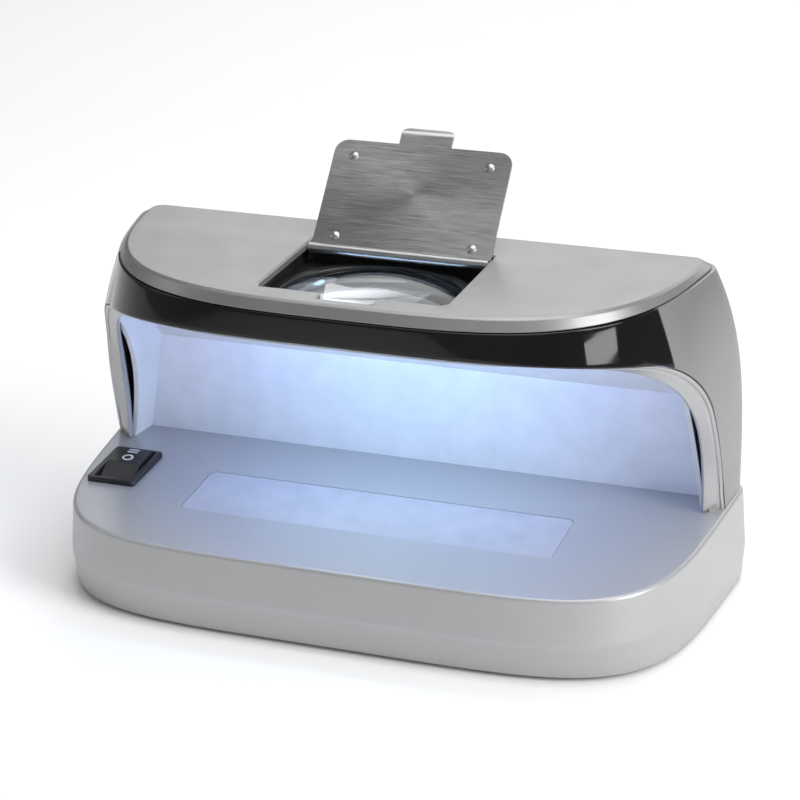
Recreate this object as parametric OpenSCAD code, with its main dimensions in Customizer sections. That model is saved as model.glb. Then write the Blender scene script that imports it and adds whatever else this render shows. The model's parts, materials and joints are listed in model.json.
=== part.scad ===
// Desktop counterfeit bill detector: a sloping tray, an arched viewing hood with ultraviolet
// lamps under its visor, and a magnifying lens under a hinged steel lid in the top.
// Millimetres. X is across the object, Y runs from the user to the rear, Z is up from the table.

/* [Tray and base] */
// Half the width of the tray's edge at the rear
tray_half_w = 95.4; // [95:0.1:96]
// How far the tray's rounded outline reaches forward of its widest line
tray_reach = 77; // [76:0.5:78]
// Height of the tray's surface above the table at Y = 0
tray_height = 26.3; // [26:0.1:27]
// Slope of the tray down towards the user, in degrees
tray_slope = 3.19; // [3:0.01:3.4]
// How far the base bulges out at its crease
base_bulge = 2.8; // [2:0.1:3.2]
// Wall of the base
base_wall = 2.2; // [2:0.1:2.4]
// Height of the rubber feet
foot_h = 1.6; // [1.4:0.1:1.8]
// Diameter of the rubber feet
foot_d = 12; // [10:0.5:13]

/* [Hood] */
// Height of the flat top above the table
top_z = 96.8; // [96.4:0.1:97.2]
// Wall of the hood's covers
hood_wall = 2; // [1.8:0.1:2.2]
// Lean of the pillars' rear edge from the vertical, in degrees
arch_lean = 15.6; // [15:0.1:16]
// Slope of the visor's lower edge, in degrees
visor_slope = 12.2; // [12:0.1:12.6]
// Radius that joins the pillars to the visor, seen from the side
arch_r = 16; // [15:0.5:17]
// Where the glossy band ends along the side
band_end_y = 0; // [-1:0.5:1]

/* [Viewing chamber] */
// Back wall of the white chamber
chamber_back_y = 29.5; // [29:0.1:30]
// Height at which the back wall turns into the slanted reflector
chamber_turn_z = 58; // [57:0.5:59]
// Thickness of the chamber's walls
liner_wall = 1.4; // [1.2:0.1:1.5]

/* [Lens and lid] */
// Radius of the magnifying lens
lens_r = 27.3; // [27:0.1:27.5]
// Distance of the lens's centre in front of the middle line
lens_y = -7.5; // [-8:0.1:-7]
// Width of the lens opening
opening_w = 54; // [53.8:0.1:54.4]
// Width of the steel lid
lid_w = 53; // [52:0.1:53.2]
// Length of the lid's plate from its hinge axis
lid_len = 34.6; // [34:0.1:35]
// Length of the lid's finger tab
lid_tab = 5.4; // [5:0.1:5.6]
// Thickness of the lid's sheet
lid_t = 0.8; // [0.7:0.05:0.9]
// How far the open lid leans back from the vertical, in degrees
lid_lean = 42; // [41:0.5:43]
// Diameter of the lid's hinge pin
pin_d = 1.5; // [1.4:0.05:1.6]

/* [Switch] */
// Centre of the switch across the tray
switch_x = -80.5; // [-80.8:0.1:-80.2]
// Centre of the switch along the tray
switch_y = 0.4; // [0:0.1:1]
// Width of the switch's bezel
switch_w = 15; // [14.8:0.1:15.2]
// Length of the switch's bezel
switch_l = 21; // [20.8:0.1:21.2]
// Swing of the rocker to each side of its middle position, in degrees
rocker_swing = 12; // [10:0.5:12]

/* [Hidden] */
gap = 0.15;

// An outline is [half width at the rear, taper, forward reach, squareness, Y of the widest line,
// Y of the rear wall, radius of the rear corners].
tray_line = [tray_half_w, 0.085, tray_reach, 5.3, 35.6, 43.2, 6];
foot_line = [tray_half_w + 0.6, 0.085, tray_reach, 5, 35.6, 43.4, 6];
crease_line = [tray_half_w + 1.2, 0.085, tray_reach + base_bulge, 5, 36, 43.6, 6];
hood_low = [94.6, 0.10, 75, 3.8, 35.5, 42, 5];
hood_high = [86.2, 0.17, 64.4, 3.3, 31.7, 38, 5];
top_line = [82.6, 0.13, 61.6, 3.1, 31.2, 35.4, 3];
rim_line = [85.7, 0.17, 63.9, 3.3, 31.4, 37.4, 4.5];
crease_z = 11.5;
base_foot_z = 1;
// Side-view points [Y, Z] on the seam: the pillar's foot and the visor's front
pillar_foot = [24, 28.3];
visor_front = [-33.9, 86];
// Side-view oval of the frame's inner edge: its centre, reach, squareness and rise towards the user
lip_centre = [-35, 27];
lip_reach = [53.7, 51.5];
lip_power = 2.5;
lip_rise = 0.12;
front_steps = 26;
plate_z = foot_h;
plate_t = 2;
side_steps = 18;
corner_steps = 4;

function tray_z(y) = tray_height + y * tan(tray_slope);
function hood_top_z(y) = 93 + (y + 32.6) * 0.025;
function inset(o, d) = [o[0] - d, o[1], o[2] - d, o[3], o[4], o[5] - d, max(o[6] - d, 0.8)];
function mix(a, b, k) = a + (b - a) * k;

// One quarter of an outline: a superellipse that tapers towards the user; a is 0 at the side, 90 at the front.
function quarter(o, a) =
    let (r = pow(pow(cos(a), o[3]) + pow(sin(a), o[3]), -1 / o[3]), y = o[4] - o[2] * r * sin(a))
    [(o[0] - o[1] * (o[4] - y)) * r * cos(a), y];

function corner(o, i) =
    let (a = 90 - 90 * i / corner_steps)
    [o[0] - o[6] + o[6] * cos(a), o[5] - o[6] + o[6] * sin(a)];

function right_half(o) = concat(
    [for (i = [0:corner_steps]) corner(o, i)],
    [for (i = [0:side_steps]) quarter(o, 90 * i / side_steps)]);

// A whole ring from its right half, which ends on the middle line at the front
function whole(h) = concat(h, [for (i = [len(h) - 2:-1:0]) [-h[i].x, h[i].y, h[i].z]]);
function level(h, z) = [for (p = h) [p.x, p.y, z]];
function on_tray(h, dz) = [for (p = h) [p.x, p.y, tray_z(p.y) + dz]];

// The hood's surface between its low and its high outline. Its sides stay upright for longer at the rear.
function hood_power(a) =
    let (s = pow(pow(cos(a), 3.8) + pow(sin(a), 3.8), -1 / 3.8) * sin(a), t = asin(pow(s, 1.9)) / 90)
    1.5 + 2 * max(0, 1 - 4 * t);
function blend_hood(p, q, w, power) =
    let (k = pow(w, power))
    [mix(p.x, q.x, k), mix(p.y, q.y, k), mix(tray_z(p.y), hood_top_z(q.y), w)];
function hood_at(a, w, d = 0) =
    blend_hood(quarter(inset(hood_low, d), a), quarter(inset(hood_high, d), a), w, hood_power(a));
function hood_half(w, d) = concat(
    [for (i = [0:corner_steps])
        blend_hood(corner(inset(hood_low, d), i), corner(inset(hood_high, d), i), w, 3.5)],
    [for (i = [0:side_steps]) hood_at(90 * i / side_steps, w, d)]);
function hood_rings(d) = [for (w = [0, 0.3, 0.5, 0.66, 0.8, 0.9, 1]) whole(hood_half(w, d))];

// Distance of a side-view point inside the hood's mouth, less a margin: negative in the covers
function in_mouth(y, z, m = 0) =
    let (a = -((y - pillar_foot.x) * cos(arch_lean) + (z - pillar_foot.y) * sin(arch_lean)) - m,
        b = -((y - visor_front.x) * sin(visor_slope) + (z - visor_front.y) * cos(visor_slope)) - m,
        c = arch_r)
    a < c && b < c ? c - norm([c - a, c - b]) : min(a, b);

// The hood's seam, from the pillar's foot to the middle of the visor
function seam_w(a, d, m, lo = 0, hi = 1, k = 18) =
    let (w = (lo + hi) / 2, p = hood_at(a, w, d))
    k == 0 ? w : in_mouth(p.y, p.z, m) > 0 ? seam_w(a, d, m, w, hi, k - 1) : seam_w(a, d, m, lo, w, k - 1);

module skin(rings, closed = false) {
    k = len(rings[0]);
    m = len(rings);
    last = closed ? m - 1 : m - 2;
    sides = [for (i = [0:last], j = [0:k - 1]) let (n = (j + 1) % k, u = (i + 1) % m) each
        [[i * k + j, i * k + n, u * k + n], [i * k + j, u * k + n, u * k + j]]];
    caps = closed ? [] : [[for (j = [k - 1:-1:0]) j], [for (j = [0:k - 1]) (m - 1) * k + j]];
    polyhedron([for (r = rings) each r], concat(sides, caps));
}

module tube_skin(outer, inner) {
    skin(concat(outer, [for (i = [len(inner) - 1:-1:0]) inner[i]]), true);
}

module screw(d, l, head_d, head_h) {
    cylinder(d = d, h = l, $fn = 32);
    translate([0, 0, l]) difference() {
        cylinder(d = head_d, h = head_h, $fn = 32);
        translate([0, 0, head_h - 0.6]) cross_slot(head_d * 0.55);
    }
}

module cross_slot(l) {
    for (a = [0, 90]) rotate(a) translate([-l / 2, -0.3, 0]) cube([l, 0.6, 2]);
}

// Points of a rectangle with rounded corners
function round_rect(x0, y0, x1, y1, r) = [
    for (c = [[x1 - r, y1 - r, 0], [x0 + r, y1 - r, 90], [x0 + r, y0 + r, 180], [x1 - r, y0 + r, 270]],
        a = [0:15:90])
    [c.x + r * cos(c.z + a), c.y + r * sin(c.z + a)]];

module on_deck(x, y) {
    translate([x, y, tray_z(y)]) rotate([tray_slope, 0, 0]) children();
}

// ---- Tray and base ----
base_screws = [[72, 31], [-72, 31], [66, -24], [-66, -24]];
head_screw_spots = [[76, 36.2], [-76, 36.2]];
head_drop = 0.22;
foot_spots = [[84, 33], [-84, 33], [74, -12], [-74, -12]];
window = [110, 24];
window_y = -6;
deck_t = 2.2;
led_board_drop = 7.8;

module base_shell() {
    color("silver") difference() {
        union() {
            difference() {
                skin([
                    level(whole(right_half(foot_line)), base_foot_z),
                    level(whole(right_half(crease_line)), crease_z - 0.6),
                    level(whole(right_half(inset(crease_line, 0.25))), crease_z + 0.9),
                    on_tray(whole(right_half(tray_line)), -0.8),
                    on_tray(whole(right_half(inset(tray_line, 0.8))), 0)]);
                skin([
                    level(whole(right_half(inset(foot_line, base_wall))), base_foot_z - 1),
                    level(whole(right_half(inset(crease_line, base_wall))), crease_z),
                    on_tray(whole(right_half(inset(tray_line, base_wall + 0.4))), -deck_t)]);
            }
            for (s = base_screws) translate([s.x, s.y, plate_z + plate_t])
                cylinder(r = 3.2, h = tray_z(s.y) - plate_z - plate_t - 1, $fn = 40);
            for (x = [-60, 60], y = [-6, 6]) on_deck(x, window_y) translate([0, y, -led_board_drop])
                cylinder(r = 2.2, h = led_board_drop - 1, $fn = 32);
        }
        on_deck(0, window_y) translate([0, 0, -10]) linear_extrude(20)
            polygon(round_rect(-window.x / 2, -window.y / 2, window.x / 2, window.y / 2, 2));
        on_deck(switch_x, switch_y) cube([13.4, 19.4, 10], center = true);
        translate([-10, 34, 20]) cube([20, 4, 12]);
        for (s = base_screws) translate([s.x, s.y, plate_z - 1]) cylinder(d = 2.9, h = 13, $fn = 32);
        for (s = head_screw_spots) translate([s.x, s.y, 20]) cylinder(d = 3.2, h = 12, $fn = 32);
    }
}

module bottom_plate() {
    color("dimgray") difference() {
        skin([for (z = [plate_z, plate_z + plate_t]) level(whole(right_half(inset(foot_line, base_wall + 0.3))), z)]);
        for (s = base_screws) translate([s.x, s.y, plate_z]) {
            translate([0, 0, -1]) cylinder(d = 3.2, h = 6, $fn = 32);
            translate([0, 0, -1]) cylinder(d = 6.4, h = 2.1, $fn = 40);
        }
        for (i = [-4:4]) translate([i * 7 - 1.5, 12, plate_z - 1]) cube([3, 14, 5]);
    }
}

module rubber_feet() {
    color("black") for (s = foot_spots) translate([s.x, s.y, 0]) cylinder(d = foot_d, h = foot_h, $fn = 48);
}

module bottom_screws() {
    color("silver") for (s = base_screws) translate([s.x, s.y, 12.6]) rotate([180, 0, 0]) screw(2.9, 10, 5.6, 0.95);
}

module head_screws() {
    color("silver") for (s = head_screw_spots)
        translate([s.x, s.y, 38]) rotate([180, 0, 0]) screw(2.9, 38 - tray_z(s.y) + deck_t + head_drop, 5.6, 1.6);
}

module tray_diffuser() {
    color("white") on_deck(0, window_y) {
        translate([0, 0, -deck_t - 0.02]) linear_extrude(deck_t - 0.08)
            polygon(round_rect(-window.x / 2 + gap, -window.y / 2 + gap, window.x / 2 - gap, window.y / 2 - gap, 1.9));
        translate([-56, -13.5, -deck_t - 1]) cube([112, 27, 1]);
    }
}

module tray_led_board() {
    color("darkgreen") on_deck(0, window_y) translate([-63, -9, -led_board_drop - 1.2]) cube([126, 18, 1.2]);
}

module tray_leds() {
    color("lightyellow") on_deck(0, window_y) for (i = [-4.5:4.5])
        translate([i * 10 - 1.75, -1.4, -led_board_drop]) cube([3.5, 2.8, 1.2]);
}

// ---- Three-position switch, drawn level with its bezel's underside at z = 0 ----
bezel_h = 1.6;
pivot_z = -1;
rocker_r = 8.9;
rocker_w = 10.6;
ridge_h = 3.6;
facet_fall = 11;
body_depth = 13;

function facet_z(y) = ridge_h - abs(y) * tan(facet_fall);

module on_switch() {
    on_deck(switch_x, switch_y) children();
}

module at_rocker() {
    on_switch() translate([0, 0, pivot_z]) rotate([rocker_swing, 0, 0]) children();
}

module switch_housing() {
    color("black") on_switch() difference() {
        union() {
            linear_extrude(bezel_h)
                polygon(round_rect(-switch_w / 2, -switch_l / 2, switch_w / 2, switch_l / 2, 1));
            translate([-6.6, -9.6, -body_depth]) cube([13.2, 19.2, body_depth + 0.5]);
        }
        translate([-rocker_w / 2 - 0.3, -9.25, -6.5]) cube([rocker_w + 0.6, 18.5, 20]);
        translate([0, 0, pivot_z]) rotate([0, 90, 0]) cylinder(r = 1.05, h = 12.4, center = true, $fn = 32);
    }
}

module switch_rocker() {
    color("black") at_rocker() union() {
        intersection() {
            rotate([0, 90, 0]) cylinder(r = rocker_r, h = rocker_w, center = true, $fn = 96);
            rotate([90, 0, 90]) linear_extrude(rocker_w, center = true)
                polygon([[-10, -3.2], [10, -3.2], [10, facet_z(10)], [0, ridge_h], [-10, facet_z(10)]]);
        }
        rotate([0, 90, 0]) cylinder(r = 1, h = 12, center = true, $fn = 32);
    }
}

// Marks stand on the rocker's rear facet: a ring for off, and two bars
module on_facet(y) {
    translate([0, y, facet_z(y)]) rotate([-facet_fall, 0, 0]) children();
}

module switch_marks() {
    color("white") at_rocker() {
        on_facet(2.8) difference() {
            cylinder(d = 3.4, h = 0.12, $fn = 40);
            translate([0, 0, -1]) cylinder(d = 2.3, h = 3, $fn = 40);
        }
        for (y = [6.2, 7.5]) on_facet(y) translate([-1.6, -0.3, 0]) cube([3.2, 0.6, 0.12]);
    }
}

module switch_terminals() {
    color("goldenrod") on_switch() for (y = [-6, 0, 6])
        translate([-2.4, y - 0.4, -body_depth - 6]) cube([4.8, 0.8, 6]);
}

// ---- Hood ----
function seam_yz(a, b) =
    let (pa = pillar_foot.x * cos(arch_lean) + pillar_foot.y * sin(arch_lean) - a,
        pb = visor_front.y * cos(visor_slope) + visor_front.x * sin(visor_slope) - b,
        det = cos(arch_lean + visor_slope))
    [(pa * cos(visor_slope) - pb * sin(arch_lean)) / det, (pb * cos(arch_lean) - pa * sin(visor_slope)) / det];
function seam_curve() = concat([seam_yz(0, 80)],
    [for (t = [0:9:90]) seam_yz(arch_r * (1 - cos(t)), arch_r * (1 - sin(t)))],
    [seam_yz(90, 0)]);
// The seam's height over a place on the visor
function visor_z(y) = visor_front.y - (y - visor_front.x) * tan(visor_slope);

module side_prism(points) {
    translate([-120, 0, 0]) rotate([90, 0, 90]) linear_extrude(240) polygon(points);
}

module fascia_band() {
    color([0.05, 0.05, 0.06]) intersection() {
        tube_skin(hood_rings(0), hood_rings(1.6));
        side_prism([[-60, visor_z(-60)], [band_end_y, visor_z(band_end_y)], [band_end_y, 110], [-60, 110]]);
    }
}

module rear_cover() {
    start = band_end_y + gap;
    jack_hole = 8;
    color("gray") difference() {
        union() {
            intersection() {
                tube_skin(hood_rings(0), hood_rings(hood_wall));
                side_prism(concat(
                    [for (p = seam_curve()) if (p.x > start) p],
                    [[start, visor_z(start)], [start, 110], [70, 110], [70, 10]]));
            }
            for (s = head_screw_spots) {
                translate([s.x, s.y, tray_z(s.y) + 0.3]) cylinder(r = 3.2, h = 16, $fn = 40);
                translate([s.x - 1.2, s.y + 1, tray_z(s.y + 5) + 0.1]) cube([2.4, 4.5, 15]);
            }
        }
        for (s = head_screw_spots) translate([s.x, s.y, 20]) cylinder(d = 2.9, h = 20, $fn = 32);
        translate([jack_x, 50, jack_z]) rotate([90, 0, 0]) cylinder(d = jack_hole, h = 20, $fn = 64);
    }
}

// The frame's inner edge in side view, grown by m; s runs from 0 at the pillar to 90 at the visor
function lip_height(y) = lip_centre.y + lip_rise * (lip_centre.x + lip_reach.x - y);
function lip_yz(s, m) =
    let (r = pow(pow(cos(s), lip_power) + pow(sin(s), lip_power), -1 / lip_power),
        y = lip_centre.x + (lip_reach.x + m) * r * cos(s))
    [y, lip_height(y) + (lip_reach.y + m) * r * sin(s)];

// How far a side-view point lies inside the frame's inner edge, as a share of the edge's size
function in_lip(y, z) =
    1 - pow(max(0, y - lip_centre.x) / lip_reach.x, lip_power)
    - pow(max(0, z - lip_height(y)) / lip_reach.y, lip_power);
function lip_w(a, d, lo = 0, hi = 1, k = 18) =
    let (w = (lo + hi) / 2, p = hood_at(a, w, d))
    k == 0 ? w : in_lip(p.y, p.z) > 0 ? lip_w(a, d, w, hi, k - 1) : lip_w(a, d, lo, w, k - 1);
function foot_angle(o, y) =
    let (s = (o[4] - y) / o[2])
    atan2(s, pow(1 - pow(s, o[3]), 1 / o[3]));
// Unit vector that points out of the mouth across the frame's inner edge, seen from the side
function lip_normal(y, z) =
    let (g = [pow(max(0, y - lip_centre.x) / lip_reach.x, lip_power - 1),
        pow(max(0, z - lip_centre.y) / lip_reach.y, lip_power - 1)])
    g / norm(g);
// How far the frame's face reaches into the mouth: most at the pillars' feet, least under the visor
visor_inset = 1.4;
pillar_inset = 4.4;
function lip_inset(a) = visor_inset + pillar_inset * pow(max(0, 1 - a / 60), 0.7);
frame_t = 2;
visor_frame_t = 0.4;
frame_edge_t = 2.3;
return_w = 1.9;
foot_sink = 0.8;

// The frame's section at f, from 0 at the foot to 1 at the middle of the visor
function frame_section(f, sink) =
    let (a = mix(foot_angle(hood_low, pillar_foot.x - gap), 90, f),
        b = mix(foot_angle(hood_low, lip_centre.x + lip_reach.x + 0.5), 90, f),
        d = lip_inset(b),
        w = max(0.003, lip_w(b, d)),
        p = hood_at(a, max(0.003, seam_w(a, 0, gap)), 0),
        t = hood_at(a, max(0.003, seam_w(a, frame_edge_t, gap)), frame_edge_t),
        q = hood_at(b, w, d),
        u = lip_normal(q.y, q.z),
        n = mix(visor_frame_t, frame_t, u.x) * u,
        back = hood_at(b, w, d + 0.5) + [0, n.x, n.y],
        outer = hood_at(b, w, max(0, d - return_w)) + [0, n.x, n.y],
        heel = mix(mix(t, back, 0.5), outer, u.x))
    [for (v = [p, t, heel, back, q]) v - [0, 0, sink]];

module front_frame() {
    half = [for (i = [0:front_steps]) frame_section(pow(i / front_steps, 2), i == 0 ? foot_sink : 0)];
    full = concat(half, [for (i = [front_steps - 1:-1:0]) [for (p = half[i]) [-p.x, p.y, p.z]]]);
    color("silver") difference() {
        skin(full);
        on_deck(0, 0) translate([-120, -80, -20]) cube([240, 160, 20.05]);
    }
}

// ---- Viewing chamber ----
ceiling_front = [-28.5, 83.8];
ceiling_back = [11, 79.5];
ceiling_slope = atan((ceiling_front.y - ceiling_back.y) / (ceiling_back.x - ceiling_front.x));
uv_spot = [49, -8];
function ceiling_z(y) = ceiling_back.y + (ceiling_back.x - y) * tan(ceiling_slope);
function chamber_x(y, z) = 85.2 - 0.16 * (z - 27.9) - 0.2 * (y - chamber_back_y);

module chamber_prism(d, front) {
    ring = [[front, 20], [front, ceiling_z(front) + d], [ceiling_back.x + d * 0.5, ceiling_back.y + d],
        [chamber_back_y + d, chamber_turn_z + d * 0.5], [chamber_back_y + d, 20]];
    skin([for (side = [-1, 1]) [for (p = ring) [side * (chamber_x(p.x, p.y) + d), p.x, p.y]]]);
}

module on_ceiling(x, y) {
    translate([x, y, ceiling_z(y)]) rotate([-ceiling_slope, 0, 0]) children();
}

liner_gap = 2.7;
board_bosses = [for (x = [-40, 40], z = [37, 55]) [x, z]];

module light_chamber() {
    lip = [for (s = [0:6:90]) lip_yz(s, liner_gap)];
    color("white") difference() {
        union() {
            difference() {
                intersection() {
                    chamber_prism(liner_wall, -70);
                    skin([on_tray(whole(hood_half(0, 2.4)), 0.05), whole(hood_half(0.5, 2.4)), whole(hood_half(0.8, 2.4)),
                        whole(hood_half(1, 2.4))]);
                }
                chamber_prism(0, -80);
                side_prism(concat([[lip[0].x, 10]], lip, [[-90, 86], [-90, 10]]));
            }
            for (s = board_bosses) translate([s.x, board_y, s.y]) rotate([90, 0, 0])
                cylinder(r = 2.5, h = board_y - chamber_back_y - liner_wall / 2, $fn = 32);
            for (side = [-1, 1], x = [-14.6, 14.6]) on_ceiling(side * uv_spot.x, uv_spot.y) translate([x, 0, 1])
                cylinder(r = 1.2, h = 2.4, $fn = 24);
        }
        intersection() {
            translate([0, lens_y, 70]) cylinder(r = 25.2, h = 30, $fn = 96);
            translate([-40, -60, 60]) cube([80, 60 + ceiling_back.x - 0.6, 40]);
        }
        for (side = [-1, 1]) on_ceiling(side * uv_spot.x, uv_spot.y) cube([26, 8, 12], center = true);
        for (s = board_bosses) translate([s.x, board_y + 1, s.y]) rotate([90, 0, 0])
            cylinder(d = 2, h = 3.2, $fn = 24);
    }
}

module uv_board(side) {
    color("darkgreen") on_ceiling(side * uv_spot.x, uv_spot.y) translate([-16, -5, 3.4]) cube([32, 10, 1.2]);
}
module uv_board_left() {
    uv_board(-1);
}
module uv_board_right() {
    uv_board(1);
}

module uv_leds() {
    color("violet") for (side = [-1, 1], x = [-8, 0, 8]) on_ceiling(side * uv_spot.x, uv_spot.y)
        translate([x - 1.75, -1.75, 1.8]) cube([3.5, 3.5, 1.6]);
}

module uv_windows() {
    color("lavender") for (side = [-1, 1]) on_ceiling(side * uv_spot.x, uv_spot.y)
        translate([-12.9, -3.9, 0.1]) cube([25.8, 7.8, 1.2]);
}

// ---- Electronics behind the chamber ----
board_y = 33.6;
board_t = 1.6;
jack_x = 62;
jack_z = 40;
cover_y = 42;

module control_board() {
    color("green") difference() {
        translate([-45, board_y, 33]) cube([90, board_t, 27]);
        for (s = board_bosses) translate([s.x, board_y + 5, s.y]) rotate([90, 0, 0]) cylinder(d = 2.4, h = 8, $fn = 24);
    }
}

module board_screws() {
    color("silver") for (s = board_bosses) translate([s.x, board_y - 2, s.y]) rotate([-90, 0, 0])
        screw(2, 2 + board_t, 3.8, 1.2);
}

module on_board(x, z) {
    translate([x, board_y + board_t, z]) rotate([-90, 0, 0]) children();
}

module driver_inductor() {
    color("dimgray") on_board(-22, 46) {
        translate([0, 0, 2]) cube([8, 8, 4], center = true);
        cylinder(d = 6.4, h = 4.2, $fn = 48);
    }
}

module capacitors() {
    color("navy") for (i = [0:2]) translate([-8 + i * 12, board_y + board_t + 2.2, 40]) cylinder(d = 4.4, h = 9, $fn = 40);
}

module driver_chip() {
    color("black") on_board(26, 46) {
        translate([-2.5, -2, 0.2]) cube([5, 4, 1.5]);
        for (side = [-1, 1], i = [-1.5:1.5]) translate([i * 1.27 - 0.2, side * 2.5 - 0.5, 0]) cube([0.4, 1, 0.5]);
    }
}

module wire_sockets() {
    color("ivory") for (x = [-32, 0, 32]) translate([x - 4, board_y + board_t, 53]) difference() {
        cube([8, 4, 5]);
        translate([0.8, 0.8, 1.2]) cube([6.4, 2.4, 6]);
    }
}

module at_jack(y) {
    translate([jack_x, y, jack_z]) rotate([90, 0, 0]) children();
}

module dc_jack() {
    color([0.12, 0.12, 0.12]) difference() {
        union() {
            at_jack(cover_y + 1) cylinder(d = 11, h = 1, $fn = 64);
            at_jack(cover_y + 0.5) cylinder(d = 7.8, h = 10.6, $fn = 64);
        }
        at_jack(cover_y + 2) cylinder(d = 5.5, h = 10, $fn = 64);
    }
}

module dc_jack_pin() {
    color("silver") at_jack(cover_y - 0.5) cylinder(d = 2, h = 7.5, $fn = 40);
}

module jack_nut() {
    color("silver") difference() {
        at_jack(cover_y - hood_wall - 0.05) cylinder(d = 12.4, h = 2, $fn = 6);
        at_jack(cover_y) cylinder(d = 7.8, h = 8, $fn = 64);
    }
}

// ---- Top cover, lens and lid ----
hinge_y = 15.9;
hinge_z = 95.25;
opening_front = -22.5;
notch_front = -27.2;
notch_w = 16;
rear_clearance = 3.9;
cover_t = 2;

module top_cover() {
    color("silver") difference() {
        skin([
            [for (p = whole(right_half(rim_line))) [p.x, p.y, hood_top_z(p.y) + gap]],
            level(whole(right_half(inset(top_line, -0.9))), top_z - 0.6),
            level(whole(right_half(top_line)), top_z)]);
        skin([
            [for (p = whole(right_half(inset(rim_line, 1.8)))) [p.x, p.y, hood_top_z(p.y) - 1]],
            level(whole(right_half(inset(top_line, 0.9))), top_z - cover_t)]);
        translate([0, 0, 90]) linear_extrude(20) polygon(
            round_rect(-opening_w / 2, opening_front, opening_w / 2, hinge_y + rear_clearance, 3));
        translate([-opening_w / 2, hinge_y - rear_clearance, 90]) cube([opening_w, 2 * rear_clearance, 20]);
        translate([-notch_w / 2, notch_front, 90]) cube([notch_w, 8, 20]);
        translate([0, hinge_y, hinge_z]) rotate([0, 90, 0]) cylinder(d = pin_d + 0.1, h = 58.4, center = true, $fn = 32);
        for (s = bezel_spots) translate([s.x, s.y, 94]) cylinder(d = 2, h = 1.8, $fn = 24);
    }
}

bezel_spots = [for (x = [-32.6, 32.6], y = [-20, 18]) [x, y]];
well_z = 90.2;
flange_top = top_z - cover_t - 0.05;

module lens_bezel() {
    color([0.04, 0.04, 0.04]) difference() {
        union() {
            translate([0, 0, flange_top - 1.6]) linear_extrude(1.6) polygon(round_rect(-35.6, -27.6, 35.6, 23, 3));
            translate([0, 0, 85.6]) linear_extrude(flange_top - 86) polygon(round_rect(-30.4, -28.2, 30.4, 22.4, 3));
        }
        translate([0, 0, well_z]) linear_extrude(20) polygon(round_rect(-28.9, -27.4, 28.9, 20.8, 2));
        intersection() {
            translate([0, lens_y, 88]) cylinder(r = lens_r + 0.1, h = 20, $fn = 96);
            translate([-40, -27.4, 80]) cube([80, 80, 40]);
        }
        intersection() {
            translate([0, lens_y, 80]) cylinder(r = lens_r - 2, h = 20, $fn = 96);
            translate([-40, -25.8, 80]) cube([80, 80, 40]);
        }
        for (s = bezel_spots) translate([s.x, s.y, 90]) cylinder(d = 2.2, h = 8, $fn = 24);
    }
}

module bezel_screws() {
    color("silver") for (s = bezel_spots) translate([s.x, s.y, 95.7]) rotate([180, 0, 0])
        screw(1.9, 95.7 - flange_top + 1.6, 3.8, 1.2);
}

rim_r = 25.4;
dome_h = 4.9;
dome_r = (rim_r * rim_r + dome_h * dome_h) / (2 * dome_h);

module magnifier_lens() {
    color("lightblue") intersection() {
        union() {
            translate([0, lens_y, 88.02]) cylinder(r = lens_r, h = 2.2, $fn = 96);
            translate([0, lens_y, 90.2]) rotate_extrude($fn = 96) intersection() {
                translate([0, dome_h - dome_r]) circle(r = dome_r, $fn = 200);
                translate([0, -0.1]) square([rim_r, 10]);
            }
        }
        translate([-40, -27.3, 80]) cube([80, 80, 40]);
    }
}

module lens_ring() {
    color([0.1, 0.1, 0.1]) intersection() {
        translate([0, lens_y, 90.24]) difference() {
            cylinder(r = lens_r + 1.2, h = 1.1, $fn = 96);
            translate([0, 0, -1]) cylinder(r = rim_r + 0.25, h = 4, $fn = 96);
        }
        translate([-28.7, -27.2, 80]) cube([57.4, 47.8, 40]);
    }
}

dimple_h = 0.45;
dimple_r = 1.2;
cap_r = (dimple_r * dimple_r + dimple_h * dimple_h) / (2 * dimple_h);

// The lid lies closed here, with its hinge axis along X through the origin
module closed_lid() {
    sheet_z = 1.5 - lid_t;
    tab_w = 15.6;
    far = -lid_len;
    difference() {
        union() {
            rotate([0, 90, 0]) cylinder(r = 1.5, h = lid_w, center = true, $fn = 48);
            translate([0, 0, sheet_z]) linear_extrude(lid_t) polygon(concat(
                [[-lid_w / 2, 0]],
                [for (a = [180:15:270]) [-lid_w / 2 + 4 + 4 * cos(a), far + 4 + 4 * sin(a)]],
                [for (a = [180:30:270]) [-tab_w / 2 + 2 + 2 * cos(a), far - lid_tab + 3.6 + 2 * sin(a)]],
                [for (a = [270:30:360]) [tab_w / 2 - 2 + 2 * cos(a), far - lid_tab + 3.6 + 2 * sin(a)]],
                [for (a = [270:15:360]) [lid_w / 2 - 4 + 4 * cos(a), far + 4 + 4 * sin(a)]],
                [[lid_w / 2, 0]]));
            translate([-tab_w / 2 + 1.4, far - lid_tab + 1.9, sheet_z]) rotate([-28, 0, 0])
                translate([0, -2, 0]) cube([tab_w - 2.8, 2.2, lid_t]);
            for (x = [-20.3, 20.3], y = [-4.6, -29.6]) translate([x, y, sheet_z + cap_r - dimple_h]) intersection() {
                sphere(r = cap_r, $fn = 48);
                translate([-3, -3, -cap_r - 1]) cube([6, 6, dimple_h + 1.2]);
            }
        }
        rotate([0, 90, 0]) cylinder(d = pin_d + 0.08, h = lid_w + 2, center = true, $fn = 48);
    }
}

module lens_lid() {
    color("gainsboro") translate([0, hinge_y, hinge_z]) rotate([-90 - lid_lean, 0, 0]) closed_lid();
}

module lid_hinge_pin() {
    color("silver") translate([0, hinge_y, hinge_z]) rotate([0, 90, 0]) cylinder(d = pin_d, h = 58, center = true, $fn = 48);
}

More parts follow.
